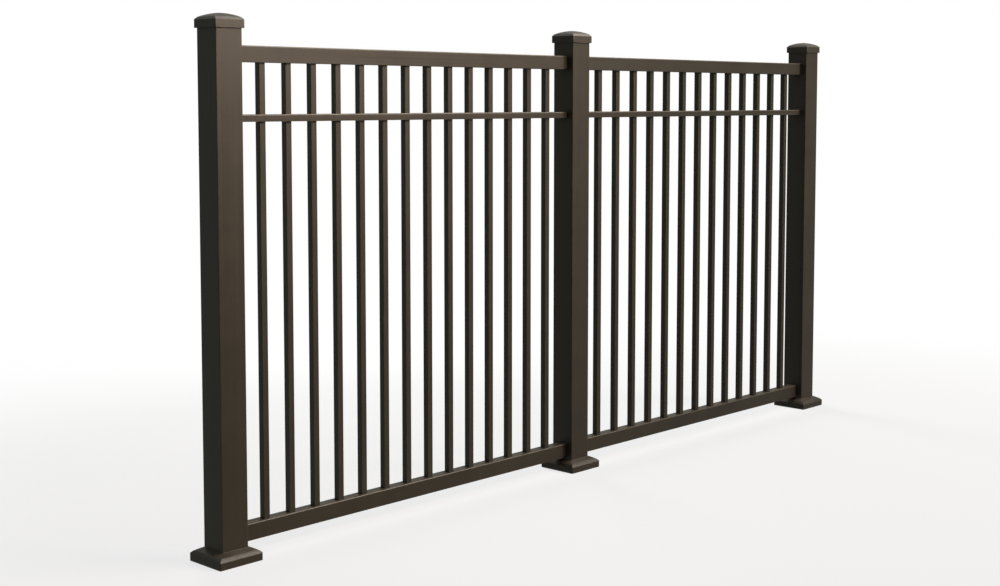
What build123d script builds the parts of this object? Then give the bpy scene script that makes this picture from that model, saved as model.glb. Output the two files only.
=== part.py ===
from build123d import *
import os

# Driving dimensions in mm
post_spacing = 1280.0  # centre to centre, the same in both bays
post_width = 76.2
post_wall = 2.5
post_corner = 2.5
post_top = 1308.0  # top of the tube, inside the cap

rail_depth = 35.0
rail_wall = 2.2
rail_web = 2.0
rail_corner = 3.0
rail_seat = 15.0  # how far a rail reaches into a routed post
top_rail_height = 40.0
top_rail_drop = 58.0  # below the tube's top
mid_rail_height = 18.0
mid_rail_drop = 166.0  # from the top rail's top to the mid rail's
bottom_rail_height = 42.0
ground_gap = 39.0  # under the bottom rail

picket_width = 18.0
picket_wall = 1.3
picket_corner = 1.5
picket_lift = 6.0  # picket foot above the bottom rail's open side
left_picket_count = 14
right_picket_count = 13

cap_overhang = 5.2
cap_corner = 4.0
cap_skirt = 19.5  # straight side, up to the bevel
cap_bevel = 6.5
cap_rise = 16.0  # bevel and dome together
cap_bulge = 0.66  # share of the dome's rise at mid slope, where 0.5 is a straight slope
cap_soften = 1.2
cap_grip = 18.5  # how far the cap reaches down the tube
cap_wall = 3.0
cap_crown = 6.0  # half-width of the flat at the very top

cover_lip = 25.4  # how far the cover stands out from the post
cover_corner = 4.0
cover_side = 18.0
cover_bevel = 6.0
cover_rise = 16.0
cover_bulge = 0.55
cover_soften = 3.0
cover_wall = 2.5

plate_thickness = 10.0
plate_corner = 5.0
bolt_edge = 11.0  # from an anchor hole's centre to the plate's edge
bolt_hole_radius = 5.5

# Clearances between pieces
rail_fit = 0.3
picket_fit = 0.3
cap_fit = 0.3
cover_fit = 0.4
plate_fit = 2.5

# Values that follow from the sizes above
post_half = post_width / 2
cap_half = post_half + cap_overhang
cap_bottom = post_top - cap_grip
cover_half = post_half + cover_lip
plate_width = 2 * (cover_half - cover_wall - plate_fit)
bolt_spacing = plate_width - 2 * bolt_edge
top_rail_top = post_top - top_rail_drop
mid_rail_top = top_rail_top - mid_rail_drop
bottom_rail_top = ground_gap + bottom_rail_height
bay_clear = post_spacing - post_width
picket_bottom = ground_gap + picket_lift
picket_top = top_rail_top - rail_web
rail_levels = {
    "top": (top_rail_top - top_rail_height, top_rail_top),
    "mid": (mid_rail_top - mid_rail_height, mid_rail_top),
    "bottom": (bottom_rail_top - bottom_rail_height, bottom_rail_top),
}
post_places = {"left": -post_spacing, "middle": 0.0, "right": post_spacing}
post_routed_sides = {"left": (1,), "middle": (-1, 1), "right": (-1,)}
bay_places = {"left": -post_spacing / 2, "right": post_spacing / 2}
bay_pickets = {"left": left_picket_count, "right": right_picket_count}


def picket_spots(bay):
    """Evenly spaced picket centres, one pitch from each post face."""
    pitch = bay_clear / (bay_pickets[bay] + 1)
    return GridLocations(pitch, 0, bay_pickets[bay], 1)


def mitred_dome(half, side, bevel, rise, crown, bulge, soften, corner):
    """Square block with bevelled eaves and a low convex roof whose four faces meet in mitres."""
    eave = (half, side)
    roof_foot = (half - bevel, side + bevel)
    roof_top = (crown, side + rise)
    mid_slope = ((half - bevel + crown) / 2, side + bevel + bulge * (rise - bevel))
    with BuildPart() as dome:
        with BuildSketch():
            RectangleRounded(2 * half, 2 * half, corner)
        extrude(amount=2 * (side + rise))
        for plane in (Plane.XZ, Plane.YZ):
            with BuildSketch(plane):
                with BuildLine():
                    Polyline((0, 0), (half, 0), eave, roof_foot)
                    ThreePointArc(roof_foot, mid_slope, roof_top)
                    Line(roof_top, (0, side + rise))
                    mirror(about=Plane.YZ)
                outline = make_face()
                fillet(outline.vertices().filter_by_position(Axis.Y, eave[1], roof_foot[1]), soften)
            extrude(amount=2 * half, both=True, mode=Mode.INTERSECT)
    return dome.part


def post_tube(name):
    """Square tube standing on its base plate, routed where rails enter it."""
    x = post_places[name]
    with BuildPart() as tube:
        with BuildSketch(Plane.XY.offset(plate_thickness)):
            with Locations((x, 0)):
                RectangleRounded(post_width, post_width, post_corner)
                inside = post_width - 2 * post_wall
                Rectangle(inside, inside, mode=Mode.SUBTRACT)
        extrude(amount=post_top - plate_thickness)
        for side in post_routed_sides[name]:
            for low, high in rail_levels.values():
                with Locations((x + side * (post_half - post_wall / 2), 0, (low + high) / 2)):
                    slot_height = high - low + 2 * rail_fit
                    Box(2 * post_wall, rail_depth + 2 * rail_fit, slot_height, mode=Mode.SUBTRACT)
    return tube


def post_cap(name):
    """Thin casting whose flat ledge sits on the tube's top end."""
    dome = mitred_dome(cap_half, cap_skirt, cap_bevel, cap_rise, cap_crown, cap_bulge, cap_soften, cap_corner)
    hollow_half = post_half - post_wall - cap_wall
    hollow_top = cap_bottom + cap_skirt + cap_rise - cap_wall
    place = Location((post_places[name], 0, cap_bottom))
    with BuildPart() as cap:
        add(dome.moved(place))
        with BuildSketch(Plane.XY.offset(cap_bottom)):
            with Locations((post_places[name], 0)):
                socket = post_width + 2 * cap_fit
                RectangleRounded(socket, socket, post_corner + cap_fit)
        extrude(amount=cap_grip, mode=Mode.SUBTRACT)
        for level, half in ((post_top, hollow_half), (hollow_top, cap_crown)):
            with BuildSketch(Plane.XY.offset(level)):
                with Locations((post_places[name], 0)):
                    Rectangle(2 * half, 2 * half)
        loft(mode=Mode.SUBTRACT)
    return cap


def base_cover(name):
    """Sloped shell that slips over the post and hides the base plate."""
    inner_half = cover_half - cover_wall
    inner_side = cover_side - cover_wall / 2
    shell = mitred_dome(cover_half, cover_side, cover_bevel, cover_rise, post_half, cover_bulge,
                        cover_soften, cover_corner)
    inner_rise = cover_rise - cover_wall / 2
    inner = mitred_dome(inner_half, inner_side, cover_bevel, inner_rise, post_half, cover_bulge,
                        cover_soften / 2, cover_corner / 2)
    place = Location((post_places[name], 0, 0))
    with BuildPart() as cover:
        add(shell.moved(place))
        add(inner.moved(place), mode=Mode.SUBTRACT)
        with BuildSketch():
            with Locations((post_places[name], 0)):
                hole = post_width + 2 * cover_fit
                RectangleRounded(hole, hole, post_corner + cover_fit)
        extrude(amount=cover_side + cover_rise + 1, mode=Mode.SUBTRACT)
    return cover


def base_plate(name):
    """Foot plate with an anchor hole in each corner."""
    with BuildPart() as plate:
        with BuildSketch():
            with Locations((post_places[name], 0)):
                RectangleRounded(plate_width, plate_width, plate_corner)
                with GridLocations(bolt_spacing, bolt_spacing, 2, 2):
                    Circle(bolt_hole_radius, mode=Mode.SUBTRACT)
        extrude(amount=plate_thickness)
    return plate


def channel_rail(bay, level, punched):
    """U-channel open below, its web punched where pickets pass through."""
    low, high = rail_levels[level]
    length = bay_clear + 2 * rail_seat
    with BuildPart() as rail:
        with BuildSketch(Plane.YZ.offset(bay_places[bay] - length / 2)):
            with BuildLine():
                Polyline((-rail_depth / 2, low), (-rail_depth / 2, high), (rail_depth / 2, high),
                         (rail_depth / 2, low), (-rail_depth / 2, low))
            outline = make_face()
            fillet(outline.vertices().group_by(Axis.Y)[-1], rail_corner)
            with Locations((0, (low + high - rail_web) / 2)):
                Rectangle(rail_depth - 2 * rail_wall, high - low - rail_web, mode=Mode.SUBTRACT)
        extrude(amount=length)
        if punched:
            with BuildSketch(Plane.XY.offset(high - 2 * rail_web)):
                with Locations((bay_places[bay], 0)):
                    with picket_spots(bay):
                        Rectangle(picket_width + 2 * picket_fit, picket_width + 2 * picket_fit)
            extrude(amount=3 * rail_web, mode=Mode.SUBTRACT)
    return rail


def picket_row(bay):
    """The bay's square tubes, from inside the bottom rail up to the top rail's web."""
    with BuildPart() as row:
        with BuildSketch(Plane.XY.offset(picket_bottom)):
            with Locations((bay_places[bay], 0)):
                with picket_spots(bay):
                    RectangleRounded(picket_width, picket_width, picket_corner)
                    inside = picket_width - 2 * picket_wall
                    Rectangle(inside, inside, mode=Mode.SUBTRACT)
        extrude(amount=picket_top - picket_bottom)
    return row


# Write one file per piece
pieces = {}
for post in post_places:
    pieces[f"{post}_post"] = post_tube(post)
    pieces[f"{post}_post_cap"] = post_cap(post)
    pieces[f"{post}_base_cover"] = base_cover(post)
    pieces[f"{post}_base_plate"] = base_plate(post)
for bay in bay_places:
    for level in rail_levels:
        pieces[f"{bay}_{level}_rail"] = channel_rail(bay, level, punched=level != "top")
    pieces[f"{bay}_pickets"] = picket_row(bay)

os.makedirs("parts", exist_ok=True)
for name, piece in pieces.items():
    piece.part.label = name
    export_step(piece.part, f"parts/{name}.step")
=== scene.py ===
import math
import bmesh
import bpy
from mathutils import Matrix, Vector


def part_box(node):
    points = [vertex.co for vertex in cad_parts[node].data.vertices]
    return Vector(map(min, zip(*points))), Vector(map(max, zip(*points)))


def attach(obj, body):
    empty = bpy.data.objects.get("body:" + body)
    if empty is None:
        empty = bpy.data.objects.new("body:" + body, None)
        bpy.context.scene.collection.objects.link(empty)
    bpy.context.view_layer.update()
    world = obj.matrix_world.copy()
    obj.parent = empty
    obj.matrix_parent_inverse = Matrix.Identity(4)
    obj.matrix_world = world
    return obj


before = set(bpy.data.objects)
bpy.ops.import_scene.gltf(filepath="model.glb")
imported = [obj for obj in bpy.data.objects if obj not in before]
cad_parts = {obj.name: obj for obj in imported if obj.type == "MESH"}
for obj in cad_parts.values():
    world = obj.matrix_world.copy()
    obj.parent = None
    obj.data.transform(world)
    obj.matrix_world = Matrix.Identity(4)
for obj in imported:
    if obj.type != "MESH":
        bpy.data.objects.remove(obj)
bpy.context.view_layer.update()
print("frame loaded:", len(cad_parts), "nodes")

scene = bpy.context.scene
scene.view_settings.view_transform = "Standard"


def hexColour(code):  # sRGB hex to linear
    parts = [int(code[i:i + 2], 16) / 255 for i in (1, 3, 5)]
    return tuple(c / 12.92 if c <= 0.04045 else ((c + 0.055) / 1.055) ** 2.4 for c in parts) + (1.0,)


def addNode(tree, kind, settings=None, inputs=None):
    node = tree.nodes.new(kind)
    for key, value in (settings or {}).items():
        setattr(node, key, value)
    for key, value in (inputs or {}).items():
        if isinstance(value, bpy.types.NodeSocket):
            tree.links.new(value, node.inputs[key])
        else:
            node.inputs[key].default_value = value
    return node


def newMaterial(name):
    material = bpy.data.materials.new(name)
    material.use_nodes = True
    material.node_tree.nodes.clear()
    return material, material.node_tree


def newObject(name, shape, material):
    mesh = bpy.data.meshes.new(name)
    shape.to_mesh(mesh)
    shape.free()
    mesh.materials.append(material)
    thing = bpy.data.objects.new(name, mesh)
    scene.collection.objects.link(thing)
    return thing


# bronze polyester powder coat, baked on: satin and faintly pebbled, cloudy over a hand's width,
# with faint lines along an extrusion, thin and worn pale on corners, that pale partly a painted highlight,
# dusty where rain splashes up
coat = {
    "bronze": "#4E453A", "bronzeDark": "#403930",
    "cloudMm": 110.0, "cloudDetail": 5.0, "cloudRoughness": 0.6, "cloudLow": 0.25, "cloudHigh": 0.75,
    # the pale corner colour is partly wear and partly a painted highlight
    "paleWearAndHighlight": "#86796A", "wearAndHighlightShare": 1.0, "cornerMm": 3.0, "cornerSamples": 6,
    "cornerStart": 0.99, "cornerFull": 0.88,  # cosines of the skin's turn away from flat
    "dust": "#6E675C", "dustShare": 0.12, "splashMm": 260.0,
    "speckleMm": 14.0, "speckleDetail": 6.0, "speckleRoughness": 0.7,
    "peelMm": 3.0, "peelDepthMm": 0.1,  # real orange peel is 1 to 2 mm, drawn coarser so that it shows
    "peelStrength": 0.6, "castPeelScale": 1.6,
    "lineMm": 5.0, "lineLengthMm": 900.0, "lineDepthMm": 0.02, "lineStrength": 0.3,
    "fineDetail": 2.0,  # for both peel and lines
    "roughness": 0.4, "roughnessSwing": 0.06, "swingLow": 0.3, "swingHigh": 0.7, "specular": 0.4,
}


def powderCoat(name, along):  # along is the extrusion's axis, empty for a casting
    s = coat
    material, tree = newMaterial(name)
    place = addNode(tree, "ShaderNodeTexCoord").outputs["Object"]
    cloud = addNode(tree, "ShaderNodeTexNoise", inputs={
        "Vector": place, "Scale": 1000 / s["cloudMm"],
        "Detail": s["cloudDetail"], "Roughness": s["cloudRoughness"]})
    cloudy = addNode(tree, "ShaderNodeMapRange", inputs={
        "Value": cloud.outputs["Fac"], "From Min": s["cloudLow"], "From Max": s["cloudHigh"]})
    colour = addNode(tree, "ShaderNodeMix", {"data_type": "RGBA"}, {
        "Factor": cloudy.outputs["Result"],
        "A": hexColour(s["bronzeDark"]), "B": hexColour(s["bronze"])})

    # corners, painted pale as wear and as a painted highlight: on a straight tube, where the skin faces none
    # of the three axes, and on a casting, where a rounded-off normal leaves the face's own
    facing = addNode(tree, "ShaderNodeNewGeometry").outputs["Normal"]
    if along:
        size = addNode(tree, "ShaderNodeVectorMath", {"operation": "ABSOLUTE"}, {0: facing})
        parts = addNode(tree, "ShaderNodeSeparateXYZ", inputs={"Vector": size.outputs["Vector"]})
        wide = addNode(tree, "ShaderNodeMath", {"operation": "MAXIMUM"}, {
            0: parts.outputs["X"], 1: parts.outputs["Y"]})
        turn = addNode(tree, "ShaderNodeMath", {"operation": "MAXIMUM"}, {
            0: wide.outputs["Value"], 1: parts.outputs["Z"]})
    else:
        rounded = addNode(tree, "ShaderNodeBevel", {"samples": s["cornerSamples"]}, {
            "Radius": s["cornerMm"] / 1000})
        turn = addNode(tree, "ShaderNodeVectorMath", {"operation": "DOT_PRODUCT"}, {
            0: rounded.outputs["Normal"], 1: facing})
    corner = addNode(tree, "ShaderNodeMapRange", inputs={
        "Value": turn.outputs["Value"], "From Min": s["cornerStart"], "From Max": s["cornerFull"],
        "To Min": 0.0, "To Max": s["wearAndHighlightShare"]})
    # pale patches on the corners: part wear, part painted highlight
    patchy = addNode(tree, "ShaderNodeMath", {"operation": "MULTIPLY"}, {
        0: corner.outputs["Result"], 1: cloud.outputs["Fac"]})
    wornAndHighlit = addNode(tree, "ShaderNodeMix", {"data_type": "RGBA"}, {
        "Factor": patchy.outputs["Value"], "A": colour.outputs["Result"], "B": hexColour(s["paleWearAndHighlight"])})

    # dust: thickest at the ground, broken up by a fine speckle
    height = addNode(tree, "ShaderNodeSeparateXYZ", inputs={"Vector": place})
    splash = addNode(tree, "ShaderNodeMapRange", {"interpolation_type": "SMOOTHSTEP"}, {
        "Value": height.outputs["Z"], "From Min": 0.0, "From Max": s["splashMm"] / 1000,
        "To Min": s["dustShare"], "To Max": 0.0})
    speckle = addNode(tree, "ShaderNodeTexNoise", inputs={
        "Vector": place, "Scale": 1000 / s["speckleMm"],
        "Detail": s["speckleDetail"], "Roughness": s["speckleRoughness"]})
    settled = addNode(tree, "ShaderNodeMath", {"operation": "MULTIPLY"}, {
        0: splash.outputs["Result"], 1: speckle.outputs["Fac"]})
    dusty = addNode(tree, "ShaderNodeMix", {"data_type": "RGBA"}, {
        "Factor": settled.outputs["Value"], "A": wornAndHighlit.outputs["Result"], "B": hexColour(s["dust"])})

    # pebbled skin, on a tube over die lines that run along it
    peelScale = 1.0 if along else s["castPeelScale"]
    peel = addNode(tree, "ShaderNodeTexNoise", inputs={
        "Vector": place, "Scale": 1000 / (s["peelMm"] * peelScale), "Detail": s["fineDetail"]})
    pebbled = addNode(tree, "ShaderNodeBump", inputs={
        "Strength": s["peelStrength"], "Distance": s["peelDepthMm"] * peelScale / 1000,
        "Height": peel.outputs["Fac"]})
    sheen = cloud
    if along:
        stretch = [s["lineMm"] / s["lineLengthMm"] if axis == along else 1.0 for axis in "XYZ"]
        run = addNode(tree, "ShaderNodeMapping", inputs={"Vector": place, "Scale": stretch})
        sheen = addNode(tree, "ShaderNodeTexNoise", inputs={
            "Vector": run.outputs["Vector"], "Scale": 1000 / s["lineMm"], "Detail": s["fineDetail"]})
        lined = addNode(tree, "ShaderNodeBump", inputs={
            "Strength": s["lineStrength"], "Distance": s["lineDepthMm"] / 1000,
            "Height": sheen.outputs["Fac"]})
        tree.links.new(lined.outputs["Normal"], pebbled.inputs["Normal"])
    gloss = addNode(tree, "ShaderNodeMapRange", inputs={
        "Value": sheen.outputs["Fac"], "From Min": s["swingLow"], "From Max": s["swingHigh"],
        "To Min": s["roughness"] - s["roughnessSwing"], "To Max": s["roughness"] + s["roughnessSwing"]})
    shader = addNode(tree, "ShaderNodeBsdfPrincipled", inputs={
        "Base Color": dusty.outputs["Result"], "Roughness": gloss.outputs["Result"],
        "Specular IOR Level": s["specular"], "Normal": pebbled.outputs["Normal"]})
    addNode(tree, "ShaderNodeOutputMaterial", inputs={"Surface": shader.outputs["BSDF"]})
    return material


# corner radii shade as curves, cut ends stay crisp and flat faces flat
shadingSettings = {"mergeMm": 0.01, "crispAngle": 40.0, "areaWeight": 100}


def softShading():
    s = shadingSettings
    group = bpy.data.node_groups.new("soft_shading", "GeometryNodeTree")
    group.interface.new_socket("Geometry", in_out="INPUT", socket_type="NodeSocketGeometry")
    group.interface.new_socket("Geometry", in_out="OUTPUT", socket_type="NodeSocketGeometry")
    start = addNode(group, "NodeGroupInput")
    joined = addNode(group, "GeometryNodeMergeByDistance", inputs={
        "Geometry": start.outputs[0], "Distance": s["mergeMm"] / 1000})
    angle = addNode(group, "GeometryNodeInputMeshEdgeAngle")
    shallow = addNode(group, "FunctionNodeCompare", {"operation": "LESS_THAN"}, {
        "A": angle.outputs["Unsigned Angle"], "B": math.radians(s["crispAngle"])})
    faces = addNode(group, "GeometryNodeSetShadeSmooth", inputs={"Geometry": joined.outputs["Geometry"]})
    edges = addNode(group, "GeometryNodeSetShadeSmooth", {"domain": "EDGE"}, {
        "Geometry": faces.outputs["Geometry"], "Shade Smooth": shallow.outputs["Result"]})
    addNode(group, "NodeGroupOutput", inputs={0: edges.outputs["Geometry"]})
    return group


softShade = softShading()


def shadeSoftly(piece):
    piece.modifiers.new("soft_shading", "NODES").node_group = softShade
    weighted = piece.modifiers.new("flat_faces_stay_flat", "WEIGHTED_NORMAL")
    weighted.mode = "FACE_AREA"
    weighted.weight = shadingSettings["areaWeight"]
    weighted.keep_sharp = True


coatOnPost = powderCoat("bronze_powder_coat_on_upright_tube", "Z")
coatOnRail = powderCoat("bronze_powder_coat_on_rail_channel", "X")
coatOnCasting = powderCoat("bronze_powder_coat_on_casting", "")
for name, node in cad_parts.items():
    node.data.materials.clear()
    if name.endswith("_rail"):
        node.data.materials.append(coatOnRail)
    elif name.endswith(("_post", "_pickets")):
        node.data.materials.append(coatOnPost)
    else:
        node.data.materials.append(coatOnCasting)
    shadeSoftly(node)
print("coat on", len(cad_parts), "nodes")

# pan-head screws through each rail's back wall into the pickets, sizes in m
screwSettings = {
    "headRadius": 0.0042, "headHeight": 0.0026, "sides": 16, "sunk": 0.0003,
    "crown": 0.0011, "crownSteps": 3, "crownProfile": 0.5,
    "driveHalf": 0.0014, "driveDepth": 0.0014, "driveRing": 1.2,  # ring's radius over the drive's half-width
    "weld": 0.000001, "digits": 6, "picketCounts": {"left": 14, "right": 13},
}


def sortAlike(elements, spot):  # by place, because the operators' own order changes from run to run
    ordered = sorted(elements, key=lambda e: tuple(round(c, screwSettings["digits"]) for c in spot(e)))
    rank = {e: i for i, e in enumerate(ordered)}
    elements.sort(key=lambda e: rank[e])


def makeScrews(bay, picketCount):
    s = screwSettings
    shape = bmesh.new()
    bmesh.ops.create_cone(
        shape, cap_ends=True, segments=s["sides"], radius1=s["headRadius"], radius2=s["headRadius"],
        depth=s["headHeight"], matrix=Matrix.Translation((0, 0, s["headHeight"] / 2 - s["sunk"])))
    shape.normal_update()
    top = max(shape.faces, key=lambda f: f.calc_center_median().z)
    bmesh.ops.bevel(
        shape, geom=list(top.edges), offset=s["crown"], offset_type="OFFSET", affect="EDGES",
        segments=s["crownSteps"], profile=s["crownProfile"], material=-1)
    shape.normal_update()
    top = max(shape.faces, key=lambda f: (round(f.calc_center_median().z, s["digits"]), len(f.verts)))
    bmesh.ops.inset_region(
        shape, faces=[top], thickness=s["headRadius"] - s["crown"] - s["driveHalf"] * s["driveRing"])
    for v in top.verts:  # the round ring becomes a square drive
        v.co.xy *= s["driveHalf"] / max(abs(v.co.x), abs(v.co.y))
    pushed = bmesh.ops.extrude_discrete_faces(shape, faces=[top])["faces"]
    bmesh.ops.translate(shape, verts=pushed[0].verts, vec=(0, 0, -s["driveDepth"]))
    sortAlike(shape.verts, lambda v: v.co)
    sortAlike(shape.faces, lambda f: f.calc_center_median())
    one = list(shape.verts) + list(shape.edges) + list(shape.faces)

    # one head for every crossing, turned to face the back
    low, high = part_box(bay + "_pickets")
    halfPicket = (high[1] - low[1]) / 2
    first, last = low[0] + halfPicket, high[0] - halfPicket
    for level in ("top", "mid", "bottom"):
        railLow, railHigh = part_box(bay + "_" + level + "_rail")
        for i in range(picketCount):
            x = first + (last - first) * i / (picketCount - 1)
            copy = bmesh.ops.duplicate(shape, geom=one)["geom"]
            seat = Matrix.Translation((x, railHigh[1], (railLow[2] + railHigh[2]) / 2))
            bmesh.ops.transform(shape, matrix=seat @ Matrix.Rotation(math.radians(-90), 4, "X"),
                                verts=[v for v in copy if isinstance(v, bmesh.types.BMVert)])
    bmesh.ops.delete(shape, geom=[v for v in one if isinstance(v, bmesh.types.BMVert)], context="VERTS")
    bmesh.ops.remove_doubles(shape, verts=shape.verts, dist=s["weld"])
    bmesh.ops.recalc_face_normals(shape, faces=shape.faces)
    screws = newObject(bay + "_picket_screws", shape, coatOnCasting)
    shadeSoftly(screws)
    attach(screws, "root")
    return len(screws.data.polygons)


for bay, picketCount in screwSettings["picketCounts"].items():
    print(bay, "picket screws:", makeScrews(bay, picketCount), "faces")


def isSeen(tree):  # camera, reflections and glass all show the white
    rays = addNode(tree, "ShaderNodeLightPath")
    direct = addNode(tree, "ShaderNodeMath", {"operation": "ADD"}, {
        0: rays.outputs["Is Camera Ray"], 1: rays.outputs["Is Glossy Ray"]})
    return addNode(tree, "ShaderNodeMath", {"operation": "ADD", "use_clamp": True}, {
        0: direct.outputs["Value"], 1: rays.outputs["Is Transmission Ray"]}).outputs["Value"]


# floor of matte studio paper: plain white to the eye, a light shadow near the fence, little bounce
floorSettings = {
    "size": 60.0, "colour": "#F4F4F2", "bounceColour": "#3A3A38",
    "shadowShare": 0.24, "fadeStart": 1.4, "fadeEnd": 3.2,
}


def makeFloor():
    s = floorSettings
    shape = bmesh.new()
    bmesh.ops.create_grid(shape, x_segments=1, y_segments=1, size=s["size"] / 2)
    material, tree = newMaterial("studio_floor_paper")
    white = addNode(tree, "ShaderNodeEmission", inputs={"Color": (1, 1, 1, 1), "Strength": 1.0})
    paper = addNode(tree, "ShaderNodeBsdfDiffuse", inputs={"Color": hexColour(s["colour"])})
    bounce = addNode(tree, "ShaderNodeBsdfDiffuse", inputs={"Color": hexColour(s["bounceColour"])})
    place = addNode(tree, "ShaderNodeTexCoord")
    reach = addNode(tree, "ShaderNodeVectorMath", {"operation": "LENGTH"}, {0: place.outputs["Object"]})
    share = addNode(tree, "ShaderNodeMapRange", {"interpolation_type": "SMOOTHSTEP"}, {
        "Value": reach.outputs["Value"], "From Min": s["fadeStart"], "From Max": s["fadeEnd"],
        "To Min": s["shadowShare"], "To Max": 0.0})
    pale = addNode(tree, "ShaderNodeMixShader", inputs={
        "Fac": share.outputs["Result"], 1: white.outputs["Emission"], 2: paper.outputs["BSDF"]})
    both = addNode(tree, "ShaderNodeMixShader", inputs={
        "Fac": isSeen(tree), 1: bounce.outputs["BSDF"], 2: pale.outputs["Shader"]})
    addNode(tree, "ShaderNodeOutputMaterial", inputs={"Surface": both.outputs["Shader"]})
    floor = newObject("floor", shape, material)


makeFloor()

# studio tent of evenly lit grey cloth with an open top, seen only in the coat's reflections:
# tops and domes stay dark, and slopes and corners catch the light
tentSettings = {"colour": "#969A92", "middle": (0.0, -1.0, 3.002), "size": (14.0, 12.0, 6.0)}


def makeTent():
    s = tentSettings
    shape = bmesh.new()
    bmesh.ops.create_cube(shape, size=1.0, matrix=Matrix.LocRotScale(s["middle"], None, s["size"]))
    top = max(shape.faces, key=lambda f: f.calc_center_median().z)
    bmesh.ops.delete(shape, geom=[top], context="FACES")
    material, tree = newMaterial("grey_tent_cloth")
    cloth = addNode(tree, "ShaderNodeEmission", inputs={"Color": hexColour(s["colour"]), "Strength": 1.0})
    addNode(tree, "ShaderNodeOutputMaterial", inputs={"Surface": cloth.outputs["Emission"]})
    tent = newObject("tent", shape, material)
    tent.visible_camera = tent.visible_diffuse = tent.visible_shadow = tent.visible_transmission = False


makeTent()

# world: white where it is seen, a dim cool fill where it lights
worldSettings = {"fill": "#8C949C", "fillStrength": 0.2}
world = bpy.data.worlds.new("studio")
scene.world = world
world.use_nodes = True
tree = world.node_tree
tree.nodes.clear()
fill = addNode(tree, "ShaderNodeBackground", inputs={
    "Color": hexColour(worldSettings["fill"]), "Strength": worldSettings["fillStrength"]})
white = addNode(tree, "ShaderNodeBackground", inputs={"Color": (1, 1, 1, 1), "Strength": 1.0})
either = addNode(tree, "ShaderNodeMixShader", inputs={
    "Fac": isSeen(tree), 1: fill.outputs["Background"], 2: white.outputs["Background"]})
addNode(tree, "ShaderNodeOutputWorld", inputs={"Surface": either.outputs["Shader"]})

# lamps: a key from the front right, a soft pool on the near end, a high one for the slopes,
# an overhead softbox that only shines on slopes and corners, and one for the back without glare
lampSettings = {
    "key": {"place": (3.2, -3.4, 3.2), "aim": (0.4, 0.0, 0.7), "size": 1.6, "watts": 122,
            "colour": "#FFF0DE", "spread": 180, "lights": True, "shines": True},
    "pool": {"place": (0.6, -2.6, 2.2), "aim": (-1.25, 0.0, 1.1), "size": 0.8, "watts": 8.5,
             "colour": "#FFE8D2", "spread": 70, "lights": True, "shines": True},
    "top": {"place": (1.1, -0.8, 3.8), "aim": (-0.2, 0.0, 0.0), "size": 1.5, "watts": 22,
            "colour": "#FFFAF4", "spread": 180, "lights": True, "shines": True},
    "sky": {"place": (1.6, -0.8, 3.6), "aim": (-0.5, 0.0, 0.2), "size": 2.8, "watts": 84,
            "colour": "#FFF6EA", "spread": 180, "lights": False, "shines": True},
    "back": {"place": (1.6, 3.6, 1.7), "aim": (0.0, 0.0, 0.7), "size": 1.8, "watts": 120,
             "colour": "#FFFFFF", "spread": 180, "lights": True, "shines": False},
}


def makeLamp(name, s):
    lamp = bpy.data.lights.new(name, "AREA")
    lamp.shape = "DISK"
    lamp.size = s["size"]
    lamp.energy = s["watts"]
    lamp.color = hexColour(s["colour"])[:3]
    lamp.spread = math.radians(s["spread"])
    holder = bpy.data.objects.new(name, lamp)
    holder.location = s["place"]
    holder.rotation_euler = (Vector(s["aim"]) - Vector(s["place"])).to_track_quat("-Z", "Y").to_euler()
    holder.visible_diffuse = s["lights"]
    holder.visible_glossy = s["shines"]
    scene.collection.objects.link(holder)


for name, s in lampSettings.items():
    makeLamp(name, s)

# camera at the photograph's angle, worked out from its posts, rails and pickets
cameraSettings = {
    "place": (-3.3947, -2.9311, 1.1175), "yaw": 46.441, "pitch": 4.161,
    "lens": 53.512, "sensor": 36.0, "shiftY": -0.0843,
}
camera = bpy.data.objects.new("camera", bpy.data.cameras.new("camera"))
scene.collection.objects.link(camera)
camera.location = cameraSettings["place"]
camera.rotation_euler = (
    math.radians(90 - cameraSettings["pitch"]), 0, -math.radians(cameraSettings["yaw"]))
camera.data.sensor_width = cameraSettings["sensor"]
camera.data.lens = cameraSettings["lens"]
camera.data.shift_y = cameraSettings["shiftY"]
scene.camera = camera
print("stage, lamps and camera set")
